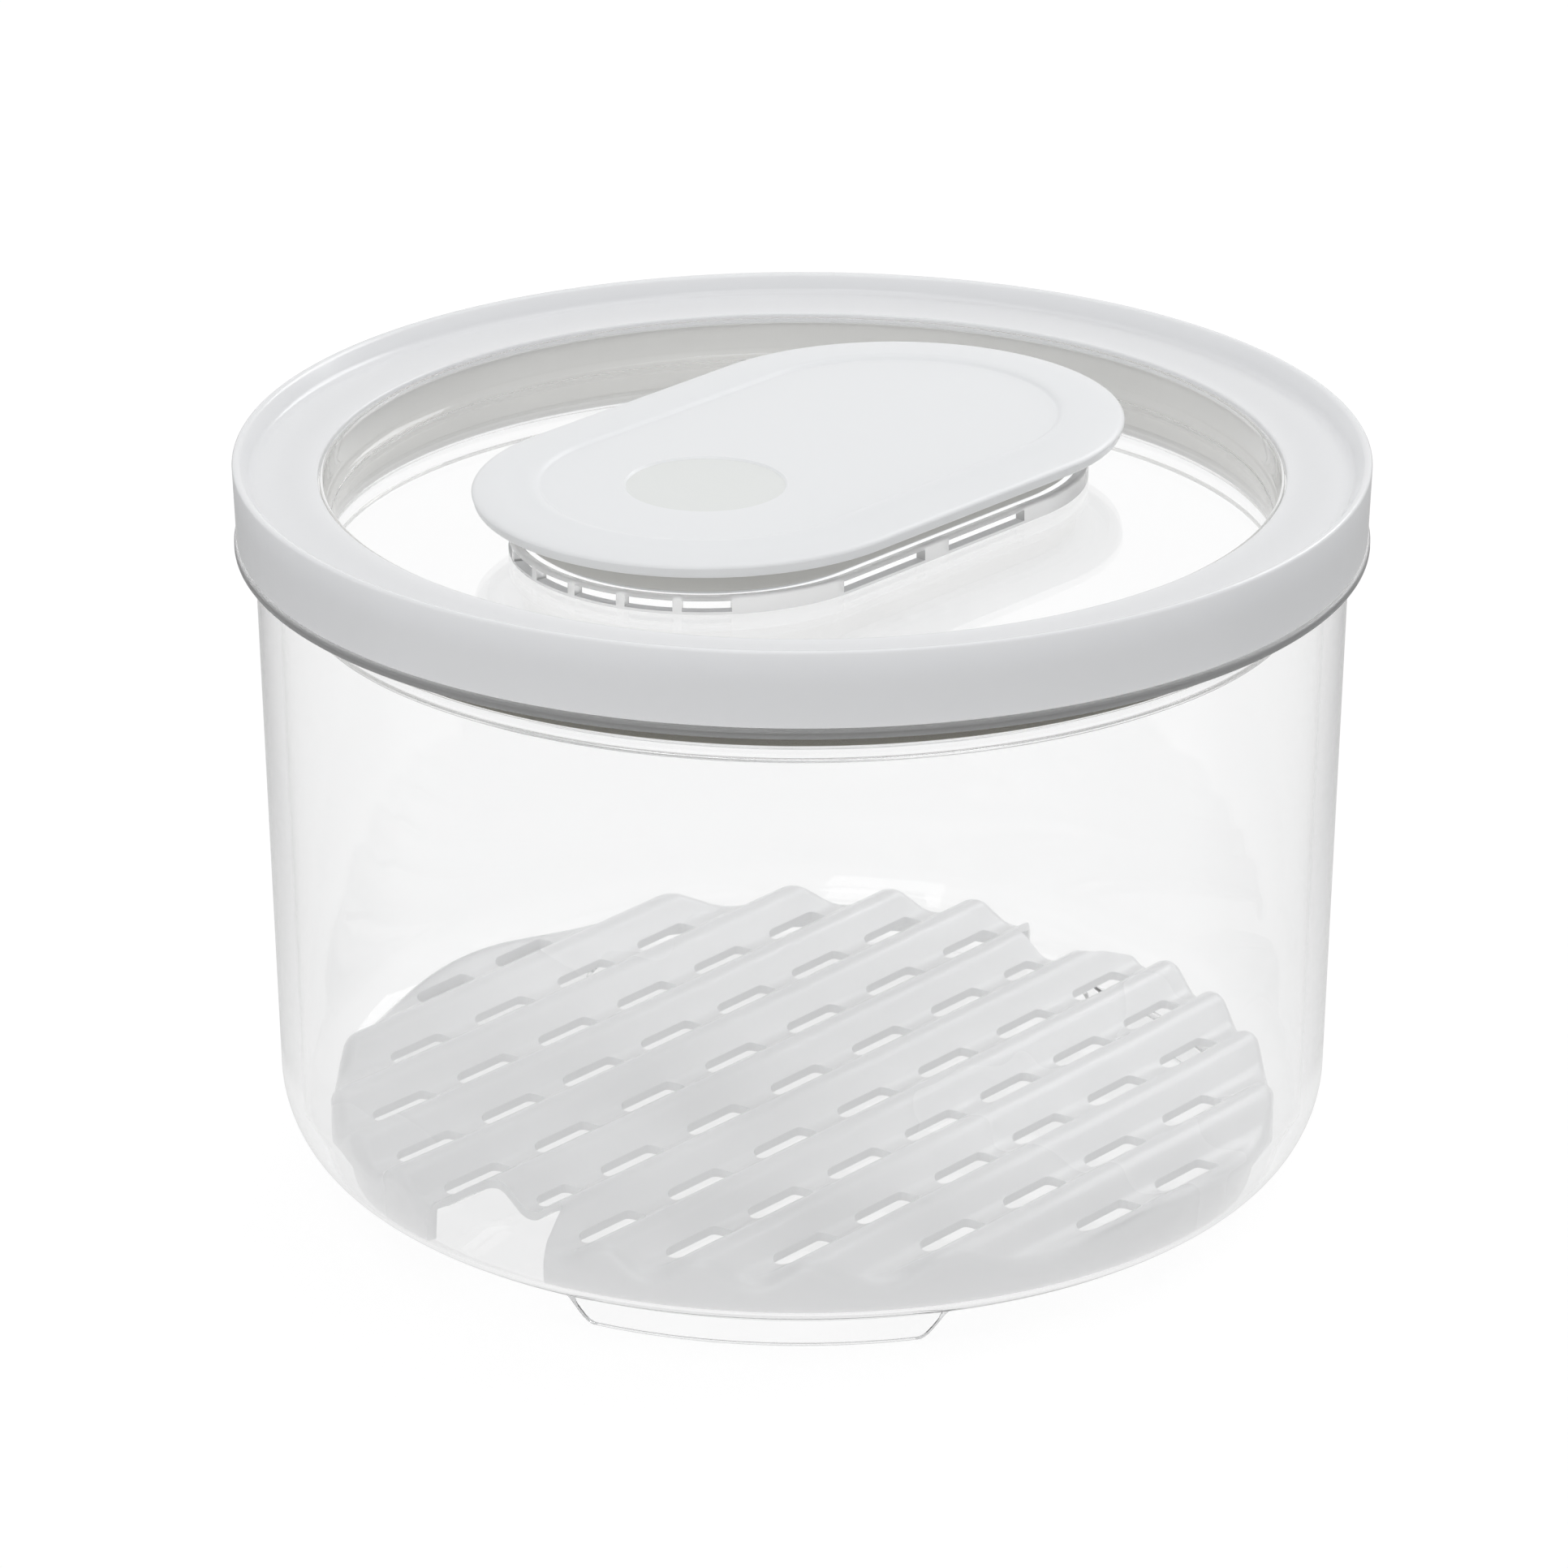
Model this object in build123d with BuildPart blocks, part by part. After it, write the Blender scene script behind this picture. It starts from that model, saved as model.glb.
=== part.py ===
from build123d import *
from math import cos, radians, sin, sqrt, tan
import os

# Produce storage bowl: clear tub, corrugated drain tray, lid with a raised oblong vent.
# Millimetres, +Z up, the foot stands on Z = 0 and the vent lies along X.

# Gaps between pieces, and how far a cutting shape runs past what it cuts
rest_gap = 0.3
slide_gap = 0.3
cut_margin = 1.0

# Widest size, the lid's outer ring; the tub and the well follow it
ring_radius = 122.5

# Tub
flange_inset = 0.1
flange_radius = ring_radius - flange_inset
flange_width = 4.3
tub_top_radius = flange_radius - flange_width
wall_draft = 2.9
tub_low_radius = tub_top_radius - wall_draft
wall = 5.0
foot_height = 6.8
floor_thickness = 4.0
floor_top = foot_height + floor_thickness
corner_run = 16.2
corner_rise = 19.4
inner_corner = 8.0
flange_thickness = 1.8
flange_base = 146.3
flange_top = flange_base + flange_thickness
rim_height = 7.1
rim_top = flange_top + rim_height
rim_round = 1.2

# Foot arcs moulded under the tub
foot_inset = 14.8
foot_outer_radius = tub_low_radius - foot_inset
foot_thickness = 3.0
foot_count = 3
foot_first_angle = 95.5
foot_base_angle = 38.0
foot_root_angle = 48.0
foot_bury = 1.0

# Drain tray; the slot rows are (row, slots, spacing in wave pitches)
tray_gap = 5.7
tray_radius = tub_low_radius - wall - tray_gap
tray_thickness = 2.0
tray_height = 11.5
tray_crest = floor_top + tray_height
wave_height = 4.7
waves_across = 10.94
wave_pitch = 2 * tray_radius / waves_across
wave_count = 6
wave_slope = 37.7
tray_turn = 1.5
tray_edge_round = 0.165 * wave_pitch
slot_length = 18.5
slot_width = 5.5
short_slot_length = 12.0
short_slot_reach = 4.19 * wave_pitch
slot_rows = [(1, 7, 1.476), (2, 7, 1.377), (3, 6, 1.403), (4, 4, 1.466), (5, 2, 1.414)]
middle_row_count = 5
middle_row_pitch = 1.476 * wave_pitch
notch_depth = 15.0
notch_inner = tray_radius - notch_depth
notch_outer = tray_radius + cut_margin
notch_inner_width = 20.0
notch_rim_width = 34.0
notch_round = 3.5

# Clear well of the lid, which hangs in the tub's mouth
plug_gap = 6.5
well_wall = 3.6
well_inner_radius = tub_top_radius - wall - plug_gap - well_wall
well_lip_wall = 0.8
well_lip_drop = 0.8
well_flange_inset = 2.1
well_flange_radius = tub_top_radius - well_flange_inset
well_flange_bottom = rim_top + rest_gap
well_flange_thickness = 3.6
well_depth = 9.6
panel_thickness = 2.8
panel_cove = 2.0
plug_reach = 25.3
plug_bead = 1.0
plug_bead_height = 3.4

# Outer ring of the lid, resting on the well's flange
ring_plate = 2.2
plate_bottom = well_flange_bottom + well_flange_thickness
lid_flat = plate_bottom + ring_plate
ring_draft = 0.6
ring_base_radius = ring_radius - ring_draft
ring_lip_height = 4.0
ring_lip_width = 4.3
ring_lip_inner = ring_radius - ring_lip_width
lip_cove = 0.6
lip_land = 1.5
lip_round = 0.6
ring_inner_radius = well_inner_radius + well_lip_wall + slide_gap
ring_skirt = 2.3
ring_bottom = flange_top + rest_gap

# Gasket round the plug
seal_thickness = 1.8
seal_reach = 21.2
seal_bottom = lid_flat - seal_reach
fin_gap = 0.6
seal_fin_radius = tub_top_radius - wall - fin_gap
fin_root = 1.4
fin_tip = 0.5
seal_fin_heights = [4.2, 11.0]

# Vent collar standing on the panel
vent_half = 31.0
collar_outer = 42.0
collar_wall = 2.4
collar_inner = collar_outer - collar_wall
collar_height = 3.9
collar_round = 0.9
window_base = 0.6
window_height = 2.4
side_windows = [(-21.1, 25.8), (12.0, 25.0)]
end_window_count = 6
end_window_step = 17.0
end_window_length = 10.2
window_align = (Align.CENTER, Align.CENTER, Align.MIN)

# Vent cap, shown raised by its whole travel; the soft band sits between skirt and collar
vent_travel = 6.3
panel_top = lid_flat - well_depth
collar_top = panel_top + collar_height
cap_brim_bottom = collar_top + rest_gap + vent_travel
brim_overhang = 7.7
cap_brim = collar_outer + brim_overhang
brim_undercut = 1.7
cap_brim_low_radius = cap_brim - brim_undercut
brim_edge_rise = 2.7
cap_brim_widest = cap_brim_bottom + brim_edge_rise
brim_height = 4.3
cap_ridge_top = cap_brim_bottom + brim_height
ridge_inset = 12.3
cap_ridge = cap_brim - ridge_inset
cap_ridge_run = 2.2
cap_plateau_drop = 0.8
brim_foot = 1.4
brim_hollow = 1.5
brim_hollow_run = 3.2
cap_thickness = 2.2
band_radius = collar_inner - slide_gap
band_thickness = 1.3
band_height = 6.5
cap_skirt_radius = band_radius - band_thickness
cap_skirt_depth = 12.9
cap_skirt_bottom = cap_brim_bottom - cap_skirt_depth
path_inset = 2.0
plate_lap = 0.5
disc_radius = 17.4
disc_depth = 0.4

os.makedirs("parts", exist_ok=True)

# Foot arc: a curved rib whose ends sweep up to the floor in a soft S
foot_base = foot_outer_radius * sin(radians(foot_base_angle / 2))
foot_root = foot_outer_radius * sin(radians(foot_root_angle / 2))
foot_top = foot_height + foot_bury
with BuildPart() as foot:
    with BuildSketch(Plane.YZ):
        with BuildLine():
            Line((-foot_base, 0), (foot_base, 0))
            Spline((foot_base, 0), (foot_root, foot_height), tangents=[(1, 0), (1, 0)])
            Polyline((foot_root, foot_height), (foot_root, foot_top),
                     (-foot_root, foot_top), (-foot_root, foot_height))
            Spline((-foot_root, foot_height), (-foot_base, 0), tangents=[(1, 0), (1, 0)])
        make_face()
    extrude(amount=2 * foot_outer_radius)
    with BuildSketch(Plane.XY):
        Circle(foot_outer_radius)
        Circle(foot_outer_radius - foot_thickness, mode=Mode.SUBTRACT)
    extrude(amount=foot_top, mode=Mode.INTERSECT)

# Tub: one revolved wall with draft, rounded base, rim and flange
draft_slope = (tub_top_radius - tub_low_radius) / (flange_base - foot_height - corner_rise)
low_z = foot_height + corner_rise
rim_inner = tub_top_radius - wall + draft_slope * (rim_top - flange_base)
inner_low_z = floor_top + inner_corner
inner_low = tub_low_radius - wall + draft_slope * (inner_low_z - low_z)
with BuildPart() as bowl:
    with BuildSketch(Plane.XZ):
        with BuildLine():
            Line((0, foot_height), (tub_low_radius - corner_run, foot_height))
            EllipticalCenterArc((tub_low_radius - corner_run, low_z), corner_run, corner_rise,
                                -90, arc_size=90)
            Polyline((tub_low_radius, low_z), (tub_top_radius, flange_base), (flange_radius, flange_base),
                     (flange_radius, flange_top), (tub_top_radius, flange_top), (tub_top_radius, rim_top),
                     (rim_inner, rim_top), (inner_low, inner_low_z))
            RadiusArc((inner_low, inner_low_z), (inner_low - inner_corner, floor_top), inner_corner)
            Polyline((inner_low - inner_corner, floor_top), (0, floor_top), (0, foot_height))
        make_face()
    revolve(axis=Axis.Z)
    with PolarLocations(0, foot_count, start_angle=foot_first_angle):
        add(foot.part)
    rim_edges = bowl.edges().group_by(Axis.Z)[-1]
    fillet(rim_edges, rim_round)
bowl.part.label = "bowl"
export_step(bowl.part, "parts/bowl.step")

# Drain tray: one waved sheet with its edge turned down to the tub's floor
corner_start = inner_low - inner_corner
tray_rise = inner_corner - sqrt(inner_corner ** 2 - (tray_radius - corner_start) ** 2)
tray_bottom = floor_top + tray_rise + rest_gap
turn_x = (cos(radians(tray_turn)), sin(radians(tray_turn)), 0)
tray_flat = Plane(origin=(0, 0, 0), x_dir=turn_x, z_dir=(0, 0, 1))
tray_along = Plane(origin=(0, 0, 0), x_dir=(-turn_x[1], turn_x[0], 0), z_dir=turn_x)
wave_reach = (wave_count + 0.5) * wave_pitch
wave_mid = tray_crest - wave_height / 2
zigzag = wave_pitch / 4 * tan(radians(wave_slope))
wave_round = (zigzag - wave_height / 2) / (1 / cos(radians(wave_slope)) - 1)
tray_top = tray_crest + wave_pitch
wave_points = []
for step in range(-2 * wave_count - 1, 2 * wave_count + 2):
    wave_points.append((step * wave_pitch / 2, wave_mid - zigzag * cos(radians(180 * step))))
with BuildPart() as wave_space:
    with BuildSketch(tray_along):
        with BuildLine():
            Polyline(*wave_points)
            Polyline(wave_points[-1], (wave_reach, tray_top), (-wave_reach, tray_top), wave_points[0])
        make_face()
        bends = vertices().filter_by(lambda v: abs(v.X) < wave_reach - cut_margin)
        fillet(bends, wave_round)
    extrude(amount=wave_reach, both=True)
with BuildPart() as tray_core:
    with BuildSketch(tray_flat.offset(tray_bottom - cut_margin)):
        Circle(tray_radius - tray_thickness)
    extrude(amount=tray_crest)
    add(wave_space.part.moved(Location((0, 0, -tray_thickness))), mode=Mode.SUBTRACT)
with BuildPart() as drain_tray:
    with BuildSketch(tray_flat.offset(tray_bottom)):
        Circle(tray_radius)
    extrude(amount=tray_crest)
    add(wave_space.part, mode=Mode.SUBTRACT)
    curved = drain_tray.edges().filter_by(GeomType.LINE, reverse=True)
    waved_edge = curved.filter_by(lambda e: e.center().Z > tray_bottom + tray_thickness)
    fillet(waved_edge, tray_edge_round)
    add(tray_core.part, mode=Mode.SUBTRACT)
    # Finger notches at both ends
    for side in (-1, 1):
        with BuildSketch(tray_flat.offset(tray_bottom - cut_margin)):
            with BuildLine():
                Polyline((side * notch_inner, -notch_inner_width / 2),
                         (side * tray_radius, -notch_rim_width / 2),
                         (side * notch_outer, -notch_rim_width / 2),
                         (side * notch_outer, notch_rim_width / 2),
                         (side * tray_radius, notch_rim_width / 2),
                         (side * notch_inner, notch_inner_width / 2), close=True)
            make_face()
            inner_ends = vertices().filter_by(lambda v: v.center().length < tray_radius - notch_depth / 2)
            fillet(inner_ends, notch_round)
        extrude(amount=tray_crest, mode=Mode.SUBTRACT)
    # Drain slots along the valleys
    with BuildSketch(tray_flat.offset(tray_bottom + tray_thickness)):
        with GridLocations(middle_row_pitch, 1, middle_row_count, 1):
            SlotOverall(slot_length, slot_width)
        for side in (-1, 1):
            with Locations((side * short_slot_reach, 0)):
                SlotOverall(short_slot_length, slot_width)
            for row, count, pitch in slot_rows:
                with Locations((0, side * row * wave_pitch)):
                    with GridLocations(pitch * wave_pitch, 1, count, 1):
                        SlotOverall(slot_length, slot_width)
    extrude(amount=tray_crest, mode=Mode.SUBTRACT)
drain_tray.part.label = "drain_tray"
export_step(drain_tray.part, "parts/drain_tray.step")

# Outer ring of the lid: flat top, raised coved lip and a skirt over the flange
lip_top = lid_flat + ring_lip_height
with BuildPart() as lid_ring:
    with BuildSketch(Plane.XZ):
        with BuildLine():
            Polyline((ring_inner_radius, plate_bottom), (ring_inner_radius, lid_flat),
                     (ring_lip_inner - lip_cove, lid_flat), (ring_lip_inner + lip_cove, lid_flat + lip_cove),
                     (ring_radius - lip_land, lip_top), (ring_radius, lip_top), (ring_base_radius, ring_bottom),
                     (ring_base_radius - ring_skirt, ring_bottom), (ring_radius - ring_skirt, plate_bottom),
                     close=True)
        make_face()
        lip_corners = vertices().filter_by(lambda v: v.Y > lid_flat + lip_cove / 2)
        fillet(lip_corners, lip_round)
        low_corner = vertices().group_by(Axis.Y)[0].sort_by(Axis.X)[-1]
        fillet(low_corner, lip_round)
    revolve(axis=Axis.Z)
lid_ring.part.label = "lid_ring"
export_step(lid_ring.part, "parts/lid_ring.step")

# Clear well of the lid with its flange, panel, plug and vent collar
plug_radius = well_inner_radius + well_wall
lip_radius = ring_inner_radius - slide_gap
well_lip_top = lid_flat - well_lip_drop
panel_bottom = panel_top - panel_thickness
plug_bottom = lid_flat - plug_reach
bead_radius = plug_radius + plug_bead
bead_top = plug_bottom + plug_bead_height
with BuildPart() as lid_well:
    with BuildSketch(Plane.XZ):
        with BuildLine():
            Polyline((0, panel_bottom), (0, panel_top), (well_inner_radius, panel_top),
                     (well_inner_radius, well_lip_top), (lip_radius, well_lip_top), (lip_radius, plate_bottom),
                     (well_flange_radius, plate_bottom), (well_flange_radius, well_flange_bottom),
                     (plug_radius, well_flange_bottom), (plug_radius, bead_top), (bead_radius, bead_top),
                     (bead_radius, plug_bottom), (well_inner_radius, plug_bottom),
                     (well_inner_radius, panel_bottom), close=True)
        make_face()
        panel_corner = vertices().sort_by_distance((well_inner_radius, panel_top))[0]
        fillet(panel_corner, panel_cove)
    revolve(axis=Axis.Z)
    with BuildSketch(Plane.XY.offset(panel_bottom)):
        SlotCenterToCenter(2 * vent_half, 2 * collar_outer)
    extrude(amount=collar_top - panel_bottom)
    collar_edge = lid_well.edges().filter_by_position(Axis.Z, collar_top, collar_top)
    fillet(collar_edge, collar_round)
    with BuildSketch(Plane.XY.offset(panel_bottom)):
        SlotCenterToCenter(2 * vent_half, 2 * collar_inner)
    extrude(amount=collar_top - panel_bottom, mode=Mode.SUBTRACT)
    # Windows low in the collar: two long ones on each straight side, short ones round the ends
    window_floor = panel_top + window_base
    collar_mid = collar_outer - collar_wall / 2
    for turn in (0, 180):
        facing = Plane(Location((0, 0, window_floor), (0, 0, turn)))
        for centre, length in side_windows:
            with Locations(facing.location * Location((centre, -collar_mid, 0))):
                Box(length, 2 * collar_wall, window_height, align=window_align, mode=Mode.SUBTRACT)
        for index in range(end_window_count):
            angle = (index - (end_window_count - 1) / 2) * end_window_step
            spoke = Location((vent_half, 0, 0), (0, 0, angle)) * Location((collar_mid, 0, 0))
            with Locations(facing.location * spoke):
                Box(2 * collar_wall, end_window_length, window_height, align=window_align, mode=Mode.SUBTRACT)
lid_well.part.label = "lid_well"
export_step(lid_well.part, "parts/lid_well.step")

# Soft gasket: a sleeve hugging the plug with two fins that lean on the tub's wall
sleeve_radius = plug_radius + seal_thickness
with BuildPart() as lid_seal:
    with BuildSketch(Plane.XZ):
        with BuildLine():
            Polyline((plug_radius, seal_bottom), (sleeve_radius, seal_bottom),
                     (sleeve_radius, well_flange_bottom), (plug_radius, well_flange_bottom), close=True)
        make_face()
        for height in seal_fin_heights:
            fin_z = seal_bottom + height
            with BuildLine():
                Polyline((plug_radius, fin_z - fin_root), (seal_fin_radius, fin_z - fin_tip),
                         (seal_fin_radius, fin_z + fin_tip), (plug_radius, fin_z + fin_root), close=True)
            make_face()
    revolve(axis=Axis.Z)
lid_seal.part.label = "lid_seal"
export_step(lid_seal.part, "parts/lid_seal.step")

# Vent cap: an oblong brim with a soft ridge, a sunk top, a bare disc and a skirt that slides in the collar
plateau = cap_ridge_top - cap_plateau_drop
cap_under = plateau - cap_thickness
cap_core = cap_skirt_radius - cap_thickness - path_inset
skirt_out = cap_skirt_radius - cap_core
skirt_in = skirt_out - cap_thickness
ridge_out = cap_ridge - cap_core
brim_out = cap_brim - cap_core
brim_low = cap_brim_low_radius - cap_core
ridge_rise = cap_ridge_top - cap_brim_widest
brim_drop = cap_brim_widest - cap_brim_bottom
with BuildPart() as vent_cap:
    cap_plane = Plane(origin=(0, -cap_core, 0), x_dir=(0, -1, 0), z_dir=(-1, 0, 0))
    with BuildSketch(cap_plane) as cap_section:
        with BuildLine():
            Line((0, plateau), (ridge_out - cap_ridge_run, plateau))
            Spline((ridge_out - cap_ridge_run, plateau), (ridge_out, cap_ridge_top), tangents=[(1, 0), (1, 0)])
            EllipticalCenterArc((ridge_out, cap_brim_widest), brim_out - ridge_out, ridge_rise, 0, arc_size=90)
            EllipticalCenterArc((brim_low, cap_brim_widest), brim_out - brim_low, brim_drop, -90, arc_size=90)
            Polyline((brim_low, cap_brim_bottom), (brim_low - brim_foot, cap_brim_bottom),
                     (brim_low - brim_foot, cap_brim_bottom + brim_hollow),
                     (brim_low - brim_foot - brim_hollow_run, cap_brim_bottom + brim_hollow),
                     (brim_low - brim_foot - brim_hollow_run, cap_brim_bottom), (skirt_out, cap_brim_bottom),
                     (skirt_out, cap_skirt_bottom), (skirt_in, cap_skirt_bottom), (skirt_in, cap_under),
                     (0, cap_under), (0, plateau))
        make_face()
    with BuildLine(Plane.XY) as cap_path:
        Line((0, -cap_core), (-vent_half, -cap_core))
        RadiusArc((-vent_half, -cap_core), (-vent_half, cap_core), cap_core)
        Line((-vent_half, cap_core), (vent_half, cap_core))
        RadiusArc((vent_half, cap_core), (vent_half, -cap_core), cap_core)
        Line((vent_half, -cap_core), (0, -cap_core))
    sweep(sections=cap_section.sketch, path=cap_path.line)
    with BuildSketch(Plane.XY.offset(cap_under)):
        SlotCenterToCenter(2 * vent_half, 2 * (cap_core + plate_lap))
    extrude(amount=cap_thickness)
    with BuildSketch(Plane.XY.offset(plateau - disc_depth)):
        with Locations((-vent_half, 0)):
            Circle(disc_radius)
    extrude(amount=disc_depth, mode=Mode.SUBTRACT)
vent_cap.part.label = "vent_cap"
export_step(vent_cap.part, "parts/vent_cap.step")

# Soft band that closes the collar's windows when the cap is down
with BuildPart() as vent_seal:
    with BuildSketch(Plane.XY.offset(cap_brim_bottom - band_height)):
        SlotCenterToCenter(2 * vent_half, 2 * band_radius)
        SlotCenterToCenter(2 * vent_half, 2 * cap_skirt_radius, mode=Mode.SUBTRACT)
    extrude(amount=band_height)
vent_seal.part.label = "vent_seal"
export_step(vent_seal.part, "parts/vent_seal.step")
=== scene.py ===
import math
import bmesh
import bpy
from mathutils import Matrix, Vector


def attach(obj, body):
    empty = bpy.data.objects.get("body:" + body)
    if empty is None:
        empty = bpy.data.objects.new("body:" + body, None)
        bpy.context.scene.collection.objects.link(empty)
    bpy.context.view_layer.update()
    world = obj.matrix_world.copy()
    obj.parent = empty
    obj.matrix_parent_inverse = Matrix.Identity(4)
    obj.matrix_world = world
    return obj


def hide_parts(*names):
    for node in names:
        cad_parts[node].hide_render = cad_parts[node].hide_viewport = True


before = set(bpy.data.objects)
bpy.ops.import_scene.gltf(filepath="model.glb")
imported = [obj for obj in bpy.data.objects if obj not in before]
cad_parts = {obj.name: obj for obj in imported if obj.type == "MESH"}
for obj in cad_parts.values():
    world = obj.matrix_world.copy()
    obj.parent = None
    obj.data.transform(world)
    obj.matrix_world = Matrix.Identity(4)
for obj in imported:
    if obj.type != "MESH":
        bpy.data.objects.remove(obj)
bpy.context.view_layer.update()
# in metres: points closer than the first are joined, points closer than the second share a place
touching, nearby = 1e-6, 1e-5

# Tub
# One clear injection moulding with a thick drafted wall, a rim flange that the lid's skirt comes
# down to, and three low arcs under the floor. A finely spun mesh bends the light evenly.


def section_outline(corners, closed=True):
    # corners are (radius, height, rounding) in metres, in order round the section
    facet, long_side, end_step = 0.0006, 0.003, 0.0005
    bm = bmesh.new()
    verts = [bm.verts.new((r, 0, z)) for r, z, rounding in corners]
    pairs = list(zip(verts, verts[1:]))
    if closed:
        pairs.append((verts[-1], verts[0]))
    for a, b in pairs:
        bm.edges.new((a, b))
    for vert, (r, z, rounding) in zip(verts, corners):
        if rounding:
            bmesh.ops.bevel(bm, geom=[vert], offset=rounding, segments=max(4, int(rounding / facet)),
                            profile=0.5, affect="VERTICES", clamp_overlap=False, material=-1)
    # a short step at both ends of each long side keeps the flats flat beside the rounded corners
    for side in [e for e in bm.edges if e.calc_length() > long_side]:
        first, last = side.verts
        near_first = bmesh.utils.edge_split(side, first, end_step / side.calc_length())[1]
        rest = next(e for e in near_first.link_edges if last in e.verts)
        bmesh.utils.edge_split(rest, last, end_step / rest.calc_length())
    return bm


def spin_round(bm, steps):
    # copies the section round Z and joins each copy to the next; points on the axis stay single
    section, sides = bm.verts[:], [tuple(e.verts) for e in bm.edges]
    rings = [{v: v for v in section}]
    for step in range(1, steps):
        turn = Matrix.Rotation(math.tau * step / steps, 3, "Z")
        rings.append({v: v if v.co.x < touching else bm.verts.new(turn @ v.co) for v in section})
    for ring, following in zip(rings, rings[1:] + rings[:1]):
        for a, b in sides:
            bm.faces.new(list(dict.fromkeys((ring[a], following[a], following[b], ring[b]))))


def finish_piece(name, bm, materials, body, node, crease=35):
    bmesh.ops.recalc_face_normals(bm, faces=bm.faces)
    for face in bm.faces:
        face.smooth = True
    for edge in bm.edges:
        if edge.calc_face_angle(0) > math.radians(crease):
            edge.smooth = False
    mesh = bpy.data.meshes.new(name)
    bm.to_mesh(mesh)
    bm.free()
    for material in materials:
        mesh.materials.append(material)
    piece = bpy.data.objects.new(name, mesh)
    bpy.context.scene.collection.objects.link(piece)
    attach(piece, body)
    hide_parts(node)


def fresh_material(name):
    material = bpy.data.materials.new(name)
    material.use_nodes = True
    return material, material.node_tree.nodes, material.node_tree.links


def new_node(nodes, kind, **values):
    # a new node with its sockets set, where From_Min stands for the socket From Min
    node = nodes.new("ShaderNode" + kind)
    for socket, value in values.items():
        node.inputs[socket.replace("_", " ")].default_value = value
    return node


def object_noise(nodes, links, scale, detail):
    place = new_node(nodes, "TexCoord")
    noise = new_node(nodes, "TexNoise", Scale=scale, Detail=detail)
    links.new(place.outputs["Object"], noise.inputs["Vector"])
    return noise


def raise_grain(nodes, links, noise, shader, strength, depth):
    bump = new_node(nodes, "Bump", Strength=strength, Distance=depth)
    links.new(noise.outputs["Fac"], bump.inputs["Height"])
    links.new(bump.outputs["Normal"], shader.inputs["Normal"])


def clear_plastic(name, tint, roughness, dimming, clarity=1.0, bending=1.5):
    # clear styrene: faint ripple from the mould, and lamps reach what is inside
    material, nodes, links = fresh_material(name)
    shader, output = nodes["Principled BSDF"], nodes["Material Output"]
    shader.inputs["Base Color"].default_value = (tint, tint, tint, 1)
    shader.inputs["Roughness"].default_value = roughness
    shader.inputs["IOR"].default_value = bending
    shader.inputs["Transmission Weight"].default_value = clarity
    ripple = object_noise(nodes, links, 18, 1)
    raise_grain(nodes, links, ripple, shader, 0.05, 0.0006)
    through = new_node(nodes, "BsdfTransparent", Color=(tint, tint, tint, 1))
    path = new_node(nodes, "LightPath")
    lamp_or_bounce = new_node(nodes, "Math")
    lamp_or_bounce.operation = "MAXIMUM"
    links.new(path.outputs["Is Shadow Ray"], lamp_or_bounce.inputs[0])
    links.new(path.outputs["Is Diffuse Ray"], lamp_or_bounce.inputs[1])
    mix = new_node(nodes, "MixShader")
    links.new(lamp_or_bounce.outputs[0], mix.inputs["Fac"])
    links.new(shader.outputs["BSDF"], mix.inputs[1])
    links.new(through.outputs["BSDF"], mix.inputs[2])
    links.new(mix.outputs["Shader"], output.inputs["Surface"])
    inside = new_node(nodes, "VolumeAbsorption", Color=(0.0, 0.02, 0.04, 1), Density=dimming)
    links.new(inside.outputs["Volume"], output.inputs["Volume"])
    return material


def base_curve(start, reach, drop, turns):
    # a quarter ellipse that leaves the floor at start and reaches the wall at base_top
    return [(start + reach * math.sin(math.radians(turn)), base_top - drop * math.cos(math.radians(turn)), 0)
            for turn in turns]


tub_plastic = clear_plastic("tub_clear", tint=0.99, roughness=0.02, dimming=4.0)
flange_plastic = clear_plastic("flange_clear", tint=0.99, roughness=0.3, dimming=4.0, clarity=0.85)
floor_under, floor_over, base_top, rim_top = 0.0068, 0.01025, 0.0262, 0.1552
wall_outer, wall_inner = 0.1181, 0.1133
flange_edge, flange_low, flange_high = 0.1224, 0.1463, 0.1481
crisp_edge, soft_edge, rim_round = 0.0004, 0.0006, 0.0012
foot_inner, foot_outer, foot_round = 0.0974, 0.1004, 0.0004
foot_full, foot_end = math.radians(20.2), math.radians(25.2)
foot_turns = [math.radians(turn) for turn in (95.5, 215.5, 335.5)]

foot_edge = [foot_round * (1 - math.cos(math.radians(turn))) for turn in (0, 30, 60, 90)]
foot_points = [(foot_inner + across, floor_under, 0) for across in foot_edge]
foot_points += [(foot_outer - across, floor_under, 0) for across in reversed(foot_edge)]
tub = section_outline([
    (0.0, floor_under, 0), *foot_points,
    *base_curve(start=0.0990, reach=0.0162, drop=0.0194, turns=range(10, 91, 5)),
    (wall_outer, flange_low, soft_edge), (flange_edge, flange_low, crisp_edge),
    (flange_edge, flange_high, soft_edge),
    (wall_outer, flange_high, soft_edge), (wall_outer, rim_top, rim_round), (wall_inner, rim_top, rim_round),
    *base_curve(start=0.1008, reach=0.00975, drop=0.01595, turns=range(85, -1, -5)), (0.0, floor_over, 0),
], closed=False)
spin_round(tub, 720)


def from_foot(point):
    # how far round, in radians, a point is from the middle of the nearest foot arc
    around = math.atan2(point.y, point.x)
    return min(abs(math.remainder(around - turn, math.tau)) for turn in foot_turns)


def under_foot(centre):
    return (abs(centre.z - floor_under) < nearby and foot_inner < centre.xy.length < foot_outer
            and from_foot(centre) < foot_end)


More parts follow.
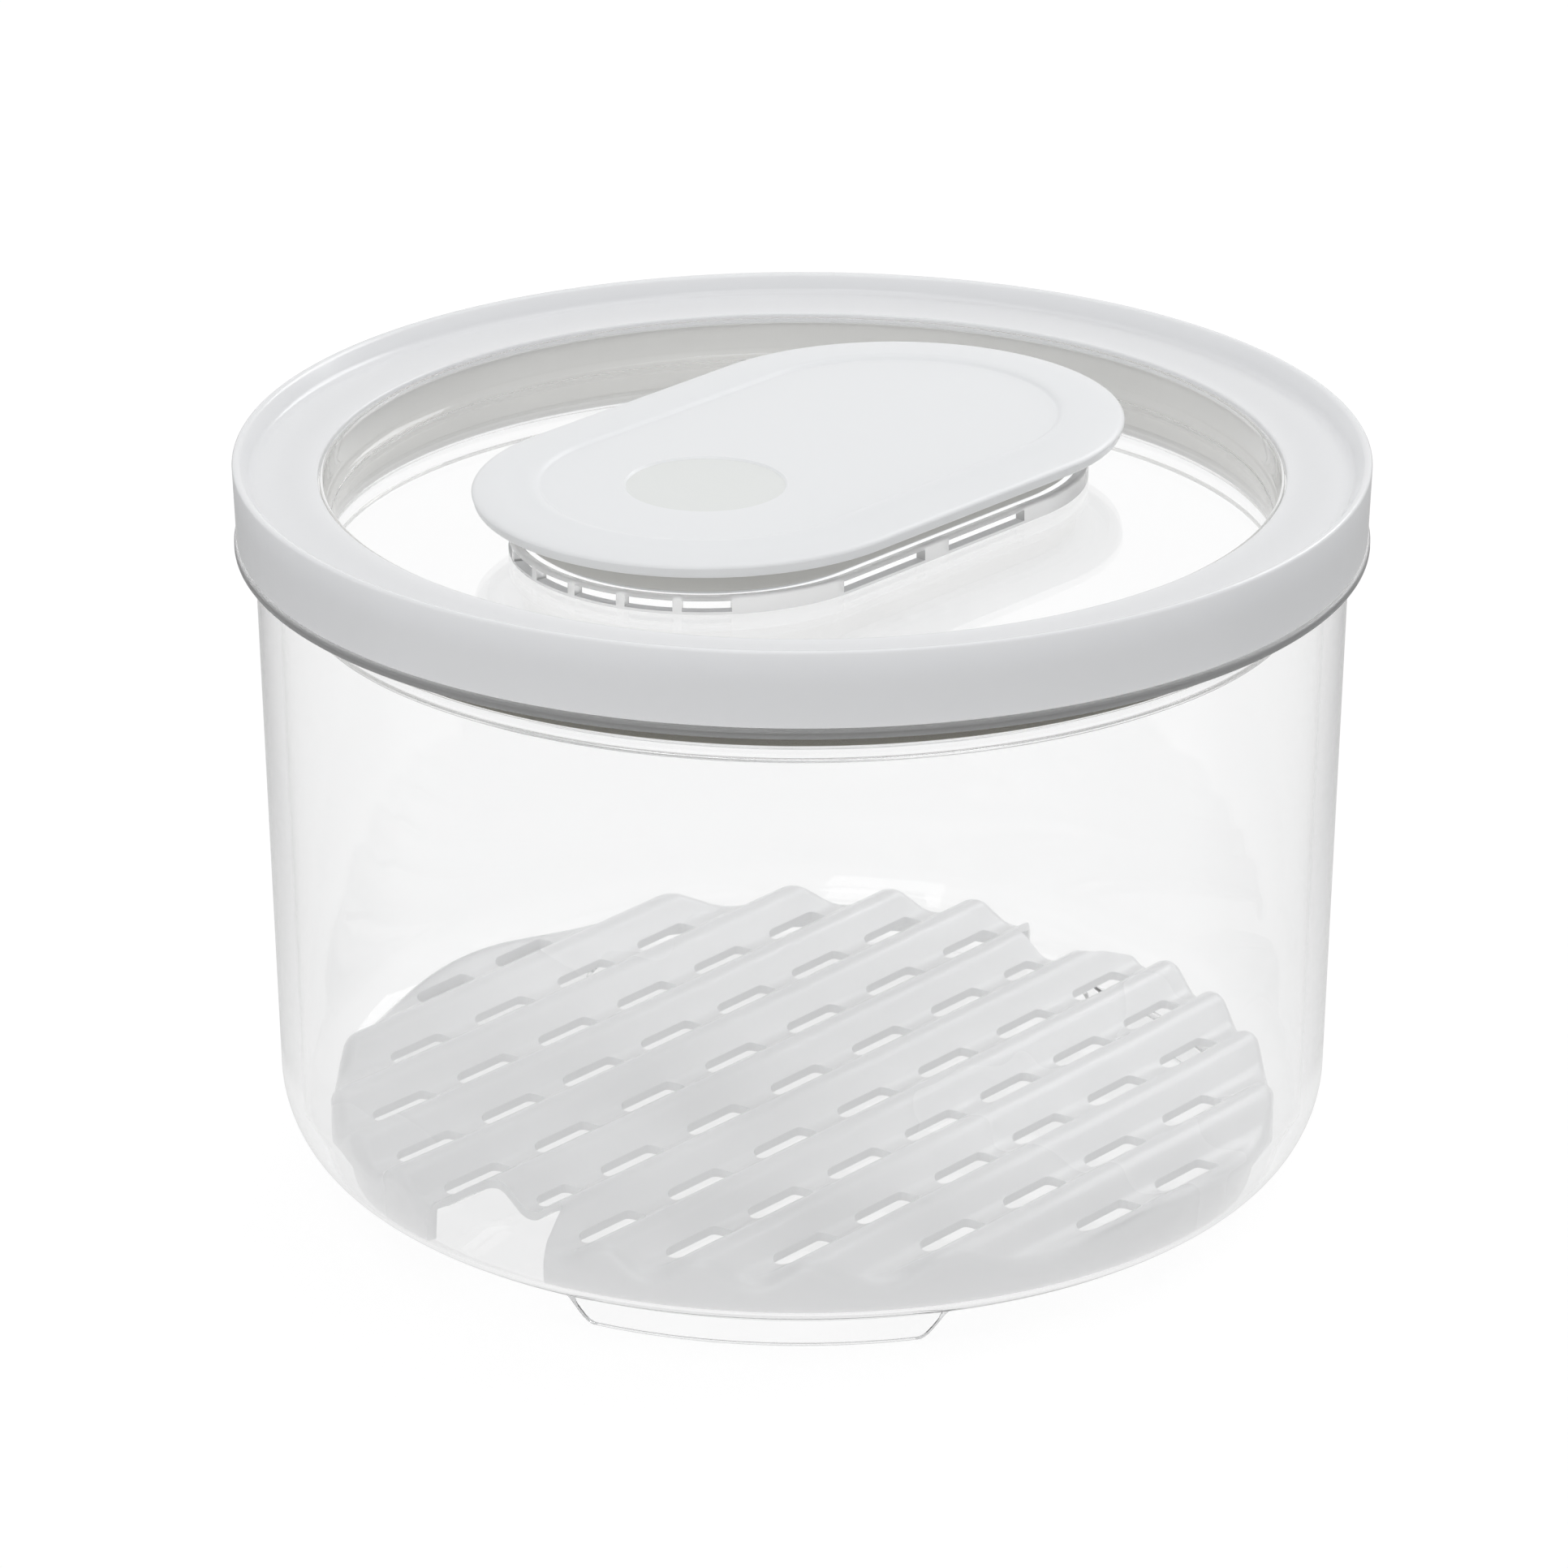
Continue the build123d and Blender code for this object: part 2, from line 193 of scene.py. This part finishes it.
foot_band = [f for f in tub.faces if under_foot(f.calc_center_median())]
grown = bmesh.ops.extrude_face_region(tub, geom=foot_band)["geom"]
bmesh.ops.delete(tub, geom=foot_band, context="FACES")
for vert in [g for g in grown if isinstance(g, bmesh.types.BMVert)]:
    share = min(1, max(0, (foot_end - from_foot(vert.co)) / (foot_end - foot_full)))
    share = share * share * (3 - 2 * share)
    inward = min(vert.co.xy.length - foot_inner, foot_outer - vert.co.xy.length, foot_round)
    rounded = foot_round - math.sqrt(max(0, foot_round ** 2 - (foot_round - inward) ** 2))
    vert.co.z = floor_under * (1 - share) + rounded * share
for face in tub.faces:
    # the rim flange comes out of the mould duller than the walls
    if face.calc_center_median().xy.length > wall_outer + 0.0005:
        face.material_index = 1
finish_piece("bowl_clear", tub, [tub_plastic, flange_plastic], "base", "bowl")

# Drain tray
# A loose white moulding: one waved sheet with obround slots along its valleys, a rolled edge
# that stands on the tub's floor, and a finger notch at each end. It has a fine satin grain.


def clouded_colour(nodes, links, noise, colour, darkest):
    # the colour goes faintly uneven, as moulded parts do
    shade = nodes.new("ShaderNodeMix")
    shade.data_type = "RGBA"
    shade.inputs["A"].default_value = (*[c * darkest for c in colour], 1)
    shade.inputs["B"].default_value = (*colour, 1)
    links.new(noise.outputs["Fac"], shade.inputs["Factor"])
    return shade.outputs["Result"]


def let_light_in(shader, share, depth):
    shader.inputs["Subsurface Weight"].default_value = share
    shader.inputs["Subsurface Scale"].default_value = depth
    shader.inputs["Subsurface Radius"].default_value = (1, 1, 1)


def satin_plastic(name, colour, roughness, grain_scale, grain_depth, bleed=0.5, bleed_depth=0.005):
    # the grain breaks up the sheen, which also varies a little with the colour
    material, nodes, links = fresh_material(name)
    shader = nodes["Principled BSDF"]
    cloud = object_noise(nodes, links, 9, 3)
    gloss = new_node(nodes, "MapRange", To_Min=roughness - 0.04, To_Max=roughness + 0.05)
    grain = object_noise(nodes, links, grain_scale, 4)
    links.new(clouded_colour(nodes, links, cloud, colour, 0.975), shader.inputs["Base Color"])
    links.new(cloud.outputs["Fac"], gloss.inputs["Value"])
    links.new(gloss.outputs["Result"], shader.inputs["Roughness"])
    raise_grain(nodes, links, grain, shader, 0.35, grain_depth)
    let_light_in(shader, bleed, bleed_depth)
    return material


tray_plastic = satin_plastic("tray_white", (0.95, 0.955, 0.96), roughness=0.26, grain_scale=900,
                             grain_depth=0.00004, bleed=0.6, bleed_depth=0.008)
tray = bmesh.new()
tray.from_mesh(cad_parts["drain_tray"].data)
bmesh.ops.remove_doubles(tray, verts=tray.verts, dist=touching)
finish_piece("drain_tray_white", tray, [tray_plastic], "tray", "drain_tray", crease=40)

# Lid well
# The clear inner half of the lid: a round well with a flat panel, the plug that enters the tub,
# and the low, slightly milky vent collar, whose windows let the air out under the raised cap.
well_plastic = clear_plastic("lid_clear", tint=0.995, roughness=0.015, dimming=2.0, bending=1.44)
collar_plastic = clear_plastic("collar_clear", tint=0.995, roughness=0.25, dimming=2.0, clarity=0.65,
                               bending=1.44)
panel_low, panel_high, panel_seam = 0.1489, 0.1517, 0.0900
well_inner, lip_outer, lip_top = 0.1030, 0.1038, 0.1605
shelf_top, shelf_under, shelf_edge = 0.1591, 0.1555, 0.1160
groove_outer, groove_roof = 0.1135, 0.1588
plug_outer, bead_outer, bead_low, plug_low = 0.1066, 0.1076, 0.1394, 0.1360
well = section_outline([
    (panel_seam, panel_high, 0), (well_inner, panel_high, 0.0020), (well_inner, lip_top, 0.0002),
    (lip_outer, lip_top, 0.0002), (lip_outer, shelf_top, 0), (shelf_edge, shelf_top, 0.0003),
    (shelf_edge, shelf_under, 0.0003), (groove_outer, shelf_under, 0.0003), (groove_outer, groove_roof, 0.0003),
    (plug_outer, groove_roof, 0), (plug_outer, bead_low, 0.0003), (bead_outer, bead_low, 0.0004),
    (bead_outer, plug_low, 0.0006), (well_inner, plug_low, 0.0006), (well_inner, panel_low, 0.0005),
    (panel_seam, panel_low, 0),
], closed=False)
spin_round(well, 512)

vent_half = 0.031
collar_in, collar_out, collar_top, collar_round = 0.0396, 0.0420, 0.1556, 0.0009
window_low = 0.1523
half_window, window_turns = 0.0051, (-42.5, -25.5, -8.5, 8.5, 25.5, 42.5)
side_windows = ((-0.003, 0.0228), (0.0305, 0.0555))
collar_steps, closest_step = 320, 0.0004
collar_mid = (collar_in + collar_out) / 2
side_start = math.pi * collar_mid
half_loop = side_start + 2 * vent_half
whole_loop = 2 * half_loop


def along_collar(distance):
    # the middle line's centre and facing angle at a distance along the collar, starting from its +X end arc
    side = distance // half_loop % 2
    distance %= half_loop
    if distance <= side_start:
        centre, angle = vent_half, distance / collar_mid - math.pi / 2
    else:
        centre, angle = vent_half - (distance - side_start), math.pi / 2
    return (-centre, angle + math.pi) if side else (centre, angle)


# the windows as stretches of the loop: six round each end and two along each side
window_middles = [collar_mid * math.radians(90 + turn) for turn in window_turns]
windows = [(middle - half_window, middle + half_window) for middle in window_middles]
windows += [(side_start + low, side_start + high) for low, high in side_windows]
windows += [(low + half_loop, high + half_loop) for low, high in windows]
window_ends = [end for window in windows for end in window]
stations = {round(end, 7) for end in window_ends}
stations |= {round(whole_loop * step / collar_steps, 7) for step in range(collar_steps)
             if all(abs(whole_loop * step / collar_steps - end) > closest_step for end in window_ends)}
stations = sorted(stations)

rim = [(math.sin(math.radians(turn)) * collar_round, math.cos(math.radians(turn)) * collar_round)
       for turn in range(0, 91, 15)]
chain = [(collar_out, panel_high), (collar_out, window_low)]
chain += [(collar_out - collar_round + across, collar_top - collar_round + up) for across, up in reversed(rim)]
chain += [(collar_in + collar_round - across, collar_top - collar_round + up) for across, up in rim]
chain += [(collar_in, window_low), (collar_in, panel_low)]
outer_low, outer_high, inner_high, inner_low = 1, 2, len(chain) - 3, len(chain) - 2
plain_faces = set(well.faces)
ribs = []
for distance in stations:
    centre, angle = along_collar(distance)
    ribs.append([well.verts.new((centre + math.cos(angle) * r, math.sin(angle) * r, z)) for r, z in chain])
for rib, following, start, end in zip(ribs, ribs[1:] + ribs[:1], stations, stations[1:] + [whole_loop]):
    window = next(((low, high) for low, high in windows if low < (start + end) / 2 < high), None)
    for step in range(len(chain) - 1):
        if not (window and step in (outer_low, inner_high)):
            well.faces.new((rib[step], following[step], following[step + 1], rib[step + 1]))
    if not window:
        continue
    well.faces.new((rib[outer_low], following[outer_low], following[inner_low], rib[inner_low]))
    well.faces.new((rib[outer_high], following[outer_high], following[inner_high], rib[inner_high]))
    for jamb, distance, window_end in ((rib, start, window[0]), (following, end, window[1])):
        if abs(distance - window_end) < touching:
            well.faces.new((jamb[outer_low], jamb[outer_high], jamb[inner_high], jamb[inner_low]))
for face in set(well.faces) - plain_faces:
    face.material_index = 1
for height, foot_index in ((panel_high, 0), (panel_low, len(chain) - 1)):
    collar_foot = {rib[foot_index] for rib in ribs}
    loop = [e for e in well.edges if set(e.verts) <= collar_foot]
    loop += [e for e in well.edges if e.is_boundary and all(
        abs(v.co.xy.length - panel_seam) < nearby and abs(v.co.z - height) < nearby for v in e.verts)]
    bmesh.ops.triangle_fill(well, edges=loop, use_beauty=True)
finish_piece("lid_well_clear", well, [well_plastic, collar_plastic], "lid", "lid_well")

# Lid gasket
# A soft grey silicone sleeve pushed over the plug and into a groove under the well's flange, with
# two thin fins that lean on the tub's wall. Its lower outside end carries painted shade, so it shows through
# the clear plastic as a dark band.


def soft_silicone(name, colour, roughness):
    material, nodes, links = fresh_material(name)
    shader = nodes["Principled BSDF"]
    shader.inputs["Roughness"].default_value = roughness
    shader.inputs["IOR"].default_value = 1.41
    let_light_in(shader, 0.4, 0.003)
    haze = object_noise(nodes, links, 40, 3)
    links.new(clouded_colour(nodes, links, haze, colour, 0.93), shader.inputs["Base Color"])
    raise_grain(nodes, links, haze, shader, 0.2, 0.00006)
    return material


def paint_shade_below(material, shade_colour, from_height, to_height, from_radius, to_radius):
    # painted shade: the free lower end, outside the plug, is coloured dark for the shade under the ring's
    # skirt, while the part pressed between plug and ring keeps its own colour
    nodes, links = material.node_tree.nodes, material.node_tree.links
    base = nodes["Principled BSDF"].inputs["Base Color"]
    clean = base.links[0].from_socket
    place = new_node(nodes, "TexCoord")
    split = new_node(nodes, "SeparateXYZ")
    low_down = new_node(nodes, "MapRange", From_Min=from_height, From_Max=to_height)
    flat = new_node(nodes, "VectorMath")
    flat.operation = "MULTIPLY"
    flat.inputs[1].default_value = (1, 1, 0)
    radius = new_node(nodes, "VectorMath")
    radius.operation = "LENGTH"
    outside = new_node(nodes, "MapRange", From_Min=from_radius, From_Max=to_radius)
    both = new_node(nodes, "Math")
    both.operation = "MULTIPLY"
    shade = nodes.new("ShaderNodeMix")
    shade.data_type = "RGBA"
    shade.inputs["B"].default_value = (*shade_colour, 1)
    links.new(place.outputs["Object"], split.inputs[0])
    links.new(place.outputs["Object"], flat.inputs[0])
    links.new(flat.outputs["Vector"], radius.inputs[0])
    links.new(split.outputs["Z"], low_down.inputs["Value"])
    links.new(radius.outputs["Value"], outside.inputs["Value"])
    links.new(low_down.outputs["Result"], both.inputs[0])
    links.new(outside.outputs["Result"], both.inputs[1])
    links.new(both.outputs[0], shade.inputs["Factor"])
    links.new(clean, shade.inputs["A"])
    links.new(shade.outputs["Result"], base)


gasket_grey = soft_silicone("gasket_grey", (0.93, 0.925, 0.895), roughness=0.5)
# painted shade on the gasket's lower outside end
paint_shade_below(gasket_grey, (0.14, 0.132, 0.10), from_height=0.1452, to_height=0.1444,
           from_radius=0.1074, to_radius=0.1080)
sleeve_low, sleeve_outer, fin_reach = 0.1401, 0.1084, 0.1125
fin_low, fin_high, fin_top, slack = 0.0007, 0.0017, 0.0024, 0.0001
gasket_points = [(plug_outer, sleeve_low, 0), (sleeve_outer, sleeve_low, 0.0004)]
for fin_root in (0.1431, 0.1499):
    gasket_points += [(sleeve_outer, fin_root, 0.0004), (fin_reach, fin_root + fin_low, 0.0003),
                      (fin_reach, fin_root + fin_high, 0.0003), (sleeve_outer, fin_root + fin_top, 0.0004)]
gasket = section_outline(gasket_points + [
    (sleeve_outer, shelf_under + 2 * slack, 0.0004), (groove_outer - slack, shelf_under + 2 * slack, 0.0004),
    (groove_outer - slack, groove_roof, 0), (plug_outer, groove_roof, 0),
])
spin_round(gasket, 256)
finish_piece("lid_gasket", gasket, [gasket_grey], "lid", "lid_seal")

# Lid ring
# White satin moulding welded round the well: a flat top, a raised lip with a coved inner face,
# and a plain skirt that hangs over the tub's rim.
ring_plastic = satin_plastic("ring_white", (0.81, 0.816, 0.828), roughness=0.2, grain_scale=700,
                             grain_depth=0.00003)
ring_inner, ring_flat, flat_edge = 0.1041, 0.1613, 0.1176
cove_foot, cove_rise, lip_inner, lip_edge, lip_high = 0.1188, 0.0006, 0.1210, 0.1225, 0.1653
skirt_low, skirt_face, skirt_back, skirt_back_top = 0.1484, 0.1219, 0.1196, 0.1202
ring = section_outline([
    (ring_inner, shelf_top, 0.0003), (ring_inner, ring_flat, 0.0005), (flat_edge, ring_flat, 0.0008),
    (cove_foot, ring_flat + cove_rise, 0.0006), (lip_inner, lip_high, 0.0007), (lip_edge, lip_high, 0.0007),
    (skirt_face, skirt_low, 0.0006), (skirt_back, skirt_low, 0.0004), (skirt_back_top, shelf_top, 0.0005),
])
spin_round(ring, 360)
finish_piece("lid_ring_white", ring, [ring_plastic], "lid", "lid_ring")

# Vent cap
# White oblong push cap, shown raised: a soft ridge round a sunk top, a thin undercut brim to lift it
# by, and a skirt that stands in the collar's mouth. The round spot at one end is bare, with a fine grain.


def carry_straight(bm, leading, run):
    # draws the open section's last copy along the straight side
    edges = [g for g in leading if isinstance(g, bmesh.types.BMEdge)]
    grown = bmesh.ops.extrude_edge_only(bm, edges=edges)["geom"]
    moved = [g for g in grown if isinstance(g, bmesh.types.BMVert)]
    bmesh.ops.translate(bm, verts=moved, vec=(run, 0, 0))
    return moved + [g for g in grown if isinstance(g, bmesh.types.BMEdge) and set(g.verts) <= set(moved)]


def carry_round(bm, leading, centre, angle, steps):
    return bmesh.ops.spin(bm, geom=leading, cent=(centre, 0, 0), axis=(0, 0, 1), dvec=(0, 0, 0), angle=angle,
                          steps=steps, use_merge=False, use_duplicate=False)["geom_last"]


def sweep_oblong(bm, steps):
    bmesh.ops.translate(bm, verts=bm.verts, vec=(vent_half, 0, 0))
    leading = carry_round(bm, bm.verts[:] + bm.edges[:], vent_half, math.pi / 2, steps)
    leading = carry_straight(bm, leading, -2 * vent_half)
    leading = carry_round(bm, leading, -vent_half, math.pi, 2 * steps)
    leading = carry_straight(bm, leading, 2 * vent_half)
    carry_round(bm, leading, vent_half, math.pi / 2, steps)
    bmesh.ops.remove_doubles(bm, verts=bm.verts, dist=touching)


def open_loop(bm, radius, height):
    # the boundary edges of the swept section's inner end, at one distance from the oblong's middle line
    def reach(co):
        return Vector((max(0, abs(co.x) - vent_half), co.y)).length
    return [e for e in bm.edges if e.is_boundary
            and all(abs(reach(v.co) - radius) < nearby and abs(v.co.z - height) < nearby for v in e.verts)]


cap_plastic = satin_plastic("cap_white", (0.82, 0.83, 0.84), roughness=0.36, grain_scale=1500,
                            grain_depth=0.00005)
spot_plastic = satin_plastic("cap_spot", (0.76, 0.775, 0.76), roughness=0.5, grain_scale=2600,
                             grain_depth=0.00012)
plateau, ridge_top, brim_side, underside, skirt_end = 0.1657, 0.1665, 0.1646, 0.1622, 0.1548
top_edge, plate_under, undercut = 0.0330, plateau - 0.0022, underside + 0.0015
skirt_inner, skirt_outer, undercut_in, undercut_out, brim_edge = 0.0358, 0.0380, 0.0434, 0.0466, 0.0497
cap = section_outline([
    (top_edge, plateau, 0), (0.0352, plateau, 0.0003), (0.0361, ridge_top - 0.0002, 0.0005),
    (0.0374, ridge_top, 0.0004), (0.0450, ridge_top - 0.0004, 0.0020), (0.0496, ridge_top - 0.0013, 0.0012),
    (brim_edge, brim_side, 0.0006), (0.0491, underside + 0.0003, 0.0006), (0.0480, underside, 0.0004),
    (undercut_out, underside, 0.0003), (undercut_out, undercut, 0.0003),
    (undercut_in, undercut, 0.0003), (undercut_in, underside, 0.0003),
    (skirt_outer, underside, 0.0003), (skirt_outer, skirt_end, 0.0005), (skirt_inner, skirt_end, 0.0005),
    (skirt_inner, plate_under, 0.0008), (top_edge, plate_under, 0),
], closed=False)
sweep_oblong(cap, 48)
inner_lid = open_loop(cap, top_edge, plateau)
bmesh.ops.edgeloop_fill(cap, edges=open_loop(cap, top_edge, plate_under))

spot_radius, spot_depth, spot_taper = 0.0174, 0.0004, 0.972
spot = bmesh.ops.create_circle(cap, cap_ends=False, segments=96, radius=spot_radius,
                               matrix=Matrix.Translation((-vent_half, 0, plateau)))
rim_of_spot = list({e for v in spot["verts"] for e in v.link_edges})
bmesh.ops.triangle_fill(cap, edges=inner_lid + rim_of_spot, use_beauty=True)
sunk = bmesh.ops.extrude_edge_only(cap, edges=rim_of_spot)["geom"]
sunk_verts = [g for g in sunk if isinstance(g, bmesh.types.BMVert)]
bmesh.ops.translate(cap, verts=sunk_verts, vec=(0, 0, -spot_depth))
for vert in sunk_verts:
    from_middle = Vector((vert.co.x + vent_half, vert.co.y))
    vert.co.x, vert.co.y = -vent_half + from_middle.x * spot_taper, from_middle.y * spot_taper
sunk_rim = [g for g in sunk if isinstance(g, bmesh.types.BMEdge) and set(g.verts) <= set(sunk_verts)]
for face in bmesh.ops.edgeloop_fill(cap, edges=sunk_rim)["faces"]:
    face.material_index = 1
finish_piece("vent_cap_white", cap, [cap_plastic, spot_plastic], "vent", "vent_cap", crease=30)

# Vent band
# A soft grey band stretched round the cap's skirt. It closes the collar's windows when the cap is down.
band_grey = soft_silicone("band_grey", (0.66, 0.655, 0.63), roughness=0.45)
band_outer, band_low = 0.0393, 0.1557
band = section_outline([
    (skirt_outer, band_low, 0), (band_outer, band_low, 0.0005), (band_outer, underside, 0.0004),
    (skirt_outer, underside, 0),
])
sweep_oblong(band, 32)
finish_piece("vent_band", band, [band_grey], "vent", "vent_seal")

# Table and sky
# A wide pale table that fades to white, under an even studio sky. In mirrored rays only, the table
# has painted dark patches at both sides, a painted reflection that gives the clear walls their grey edges.
toward = Vector((-0.749, -0.6626, 0))  # along the table to the camera
right = Vector((0.6626, -0.749, 0))  # along the table to the camera's right
table = bmesh.new()
bmesh.ops.create_grid(table, x_segments=1, y_segments=1, size=14)
table_mesh = bpy.data.meshes.new("table_top")
table.to_mesh(table_mesh)
table.free()
table_top = bpy.data.objects.new("table_top", table_mesh)
bpy.context.scene.collection.objects.link(table_top)


def any_ray(nodes, links, *kinds):
    # 1 where a ray is of one of these kinds
    rays = new_node(nodes, "LightPath").outputs
    total = rays[kinds[0]]
    for kind in kinds[1:]:
        both = new_node(nodes, "Math")
        both.operation = "ADD"
        both.use_clamp = True
        links.new(total, both.inputs[0])
        links.new(rays[kind], both.inputs[1])
        total = both.outputs[0]
    return total


def mixed(nodes, links, share, first, second):
    mix = new_node(nodes, "MixShader")
    links.new(share, mix.inputs["Fac"])
    links.new(first, mix.inputs[1])
    links.new(second, mix.inputs[2])
    return mix.outputs["Shader"]


def lit_paper(nodes, links, grey, glow):
    matt = new_node(nodes, "BsdfDiffuse", Color=(grey, grey, grey, 1))
    white = new_node(nodes, "Emission", Color=(1, 1, 1, 1), Strength=glow)
    both = new_node(nodes, "AddShader")
    links.new(matt.outputs["BSDF"], both.inputs[0])
    links.new(white.outputs["Emission"], both.inputs[1])
    return both.outputs["Shader"]


def far_along(nodes, links, direction, near, far, both_ways=False):
    # rises from 0 to 1 between two distances along a direction on the table
    place = new_node(nodes, "TexCoord")
    distance = new_node(nodes, "VectorMath")
    distance.operation = "DOT_PRODUCT"
    distance.inputs[1].default_value = direction
    links.new(place.outputs["Object"], distance.inputs[0])
    reached = distance.outputs["Value"]
    if both_ways:
        size = new_node(nodes, "Math")
        size.operation = "ABSOLUTE"
        links.new(reached, size.inputs[0])
        reached = size.outputs[0]
    rise = new_node(nodes, "MapRange", From_Min=near, From_Max=far)
    rise.interpolation_type = "SMOOTHSTEP"
    links.new(reached, rise.inputs["Value"])
    return rise.outputs["Result"]


paper, nodes, links = fresh_material("table_paper")
nodes.remove(nodes["Principled BSDF"])
# painted reflection: in mirrored rays only, the table darkens at both sides of the tub
painted_reflection_mask = new_node(nodes, "Math")
painted_reflection_mask.operation = "MULTIPLY"
links.new(far_along(nodes, links, right, near=0.12, far=0.24, both_ways=True), painted_reflection_mask.inputs[0])
links.new(far_along(nodes, links, -toward, near=-0.10, far=-0.01), painted_reflection_mask.inputs[1])
painted_reflection_level = new_node(nodes, "MapRange", To_Min=0.72, To_Max=0.42)
links.new(painted_reflection_mask.outputs[0], painted_reflection_level.inputs["Value"])
painted_reflection = new_node(nodes, "Emission")
links.new(painted_reflection_level.outputs["Result"], painted_reflection.inputs["Strength"])
lighting_side = mixed(nodes, links, any_ray(nodes, links, "Is Glossy Ray"),
                      lit_paper(nodes, links, grey=0.42, glow=0.42), painted_reflection.outputs["Emission"])
shown_side = lit_paper(nodes, links, grey=0.13, glow=0.905)
seen = any_ray(nodes, links, "Is Camera Ray", "Is Transmission Ray")
links.new(mixed(nodes, links, seen, lighting_side, shown_side), nodes["Material Output"].inputs["Surface"])
table_mesh.materials.append(paper)

sky = bpy.data.worlds.new("studio_sky")
bpy.context.scene.world = sky
sky.use_nodes = True
nodes, links = sky.node_tree.nodes, sky.node_tree.links
even = nodes["Background"]
even.inputs["Color"].default_value = (0.985, 0.99, 1.0, 1)
even.inputs["Strength"].default_value = 0.5
plain = new_node(nodes, "Background", Color=(1, 1, 1, 1), Strength=1.0)
seen = any_ray(nodes, links, "Is Camera Ray", "Is Transmission Ray", "Is Glossy Ray")
links.new(mixed(nodes, links, seen, even.outputs["Background"], plain.outputs["Background"]),
          nodes["World Output"].inputs["Surface"])

# Lamps
# A large soft box overhead, a narrow strip in front of it for the edge lights, and two weak boxes,
# one behind on the right and one in front on the left.


def soft_box(name, to_camera, to_right, height, wide, deep, power):
    light = bpy.data.lights.new(name, "AREA")
    light.shape = "RECTANGLE"
    light.size, light.size_y, light.energy = wide, deep, power
    lamp = bpy.data.objects.new(name, light)
    bpy.context.scene.collection.objects.link(lamp)
    lamp.location = toward * to_camera + right * to_right + Vector((0, 0, height))
    aim = Vector((0, 0, 0.1)) - lamp.location
    lamp.rotation_euler = aim.to_track_quat("-Z", "Y").to_euler()


soft_box("main_box", to_camera=-0.4, to_right=0, height=2.0, wide=1.6, deep=1.6, power=8)
soft_box("strip_box", to_camera=0.55, to_right=0, height=1.9, wide=1.2, deep=0.25, power=4)
soft_box("back_box", to_camera=-1.2, to_right=1.0, height=1.2, wide=1.0, deep=0.7, power=7)
soft_box("front_box", to_camera=1.6, to_right=-0.6, height=0.9, wide=0.9, deep=0.9, power=4)

# Camera
# A long lens a little above the lid, aimed down by 21.9 degrees.
aimed_down, heading = 0.382, math.radians(-48.5)
camera_away, camera_high = 1.5925, 0.7274
view = bpy.data.cameras.new("photo_view")
view.lens, view.sensor_width, view.shift_x = 180.1, 36.0, -22 / 1932
view.clip_end = 50
camera = bpy.data.objects.new("photo_view", view)
bpy.context.scene.collection.objects.link(camera)
camera.location = toward * camera_away + Vector((0, 0, camera_high))
camera.rotation_euler = (math.pi / 2 - aimed_down, 0, heading)
bpy.context.scene.camera = camera

scene = bpy.context.scene
scene.view_settings.view_transform = "Standard"
scene.cycles.max_bounces = 40
scene.cycles.transmission_bounces = 40
scene.cycles.transparent_max_bounces = 24
